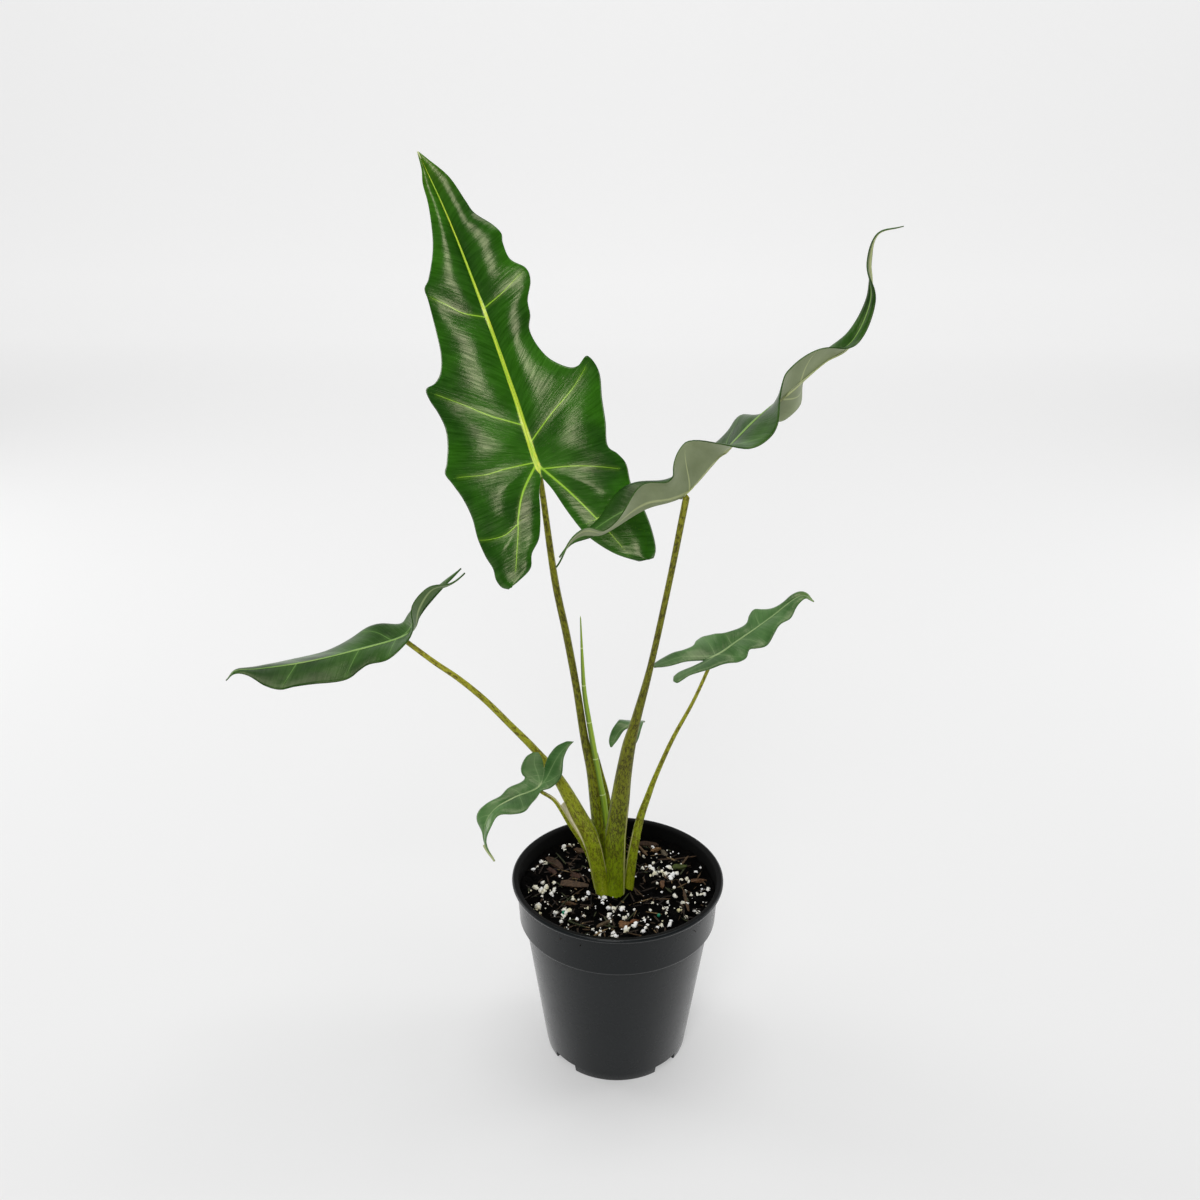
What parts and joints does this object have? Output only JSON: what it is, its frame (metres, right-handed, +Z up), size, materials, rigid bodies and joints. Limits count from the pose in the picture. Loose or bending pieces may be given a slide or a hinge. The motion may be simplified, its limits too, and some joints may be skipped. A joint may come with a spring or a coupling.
{
  "type": "potted sarian alocasia",
  "caption": "Potted sarian alocasia with arrow-shaped, scalloped dark green leaves and pale veins on mottled stalks, in a plain black nursery pot of bark and perlite mix.",
  "frame": {"origin": "centre of the pot's underside, on the surface it stands on", "axes": "+Z up the pot's axis and along the plant's height, +X to the right as the tall leaf faces the viewer, +Y away from the viewer"},
  "size_m": [0.3021, 0.1312, 0.4624],
  "materials": {
    "pot_plastic": "satin",
    "potting_mix": "rough",
    "corm_skin": "rough",
    "leaf_stalk": "satin",
    "leaf_blade": "gloss",
    "new_leaf": "satin"
  },
  "bodies": {
    "root": {"pot": "pot_plastic", "potting_mix": "potting_mix", "corm": "corm_skin", "new_leaf": "new_leaf", "petiole_a": "leaf_stalk", "petiole_b": "leaf_stalk", "petiole_c": "leaf_stalk", "petiole_d": "leaf_stalk", "petiole_e": "leaf_stalk", "petiole_f": "leaf_stalk", "blade_a": "leaf_blade", "blade_b": "leaf_blade", "blade_c": "leaf_blade", "blade_d": "leaf_blade", "blade_e": "leaf_blade", "blade_f": "leaf_blade"}
  },
  "joints": []
}
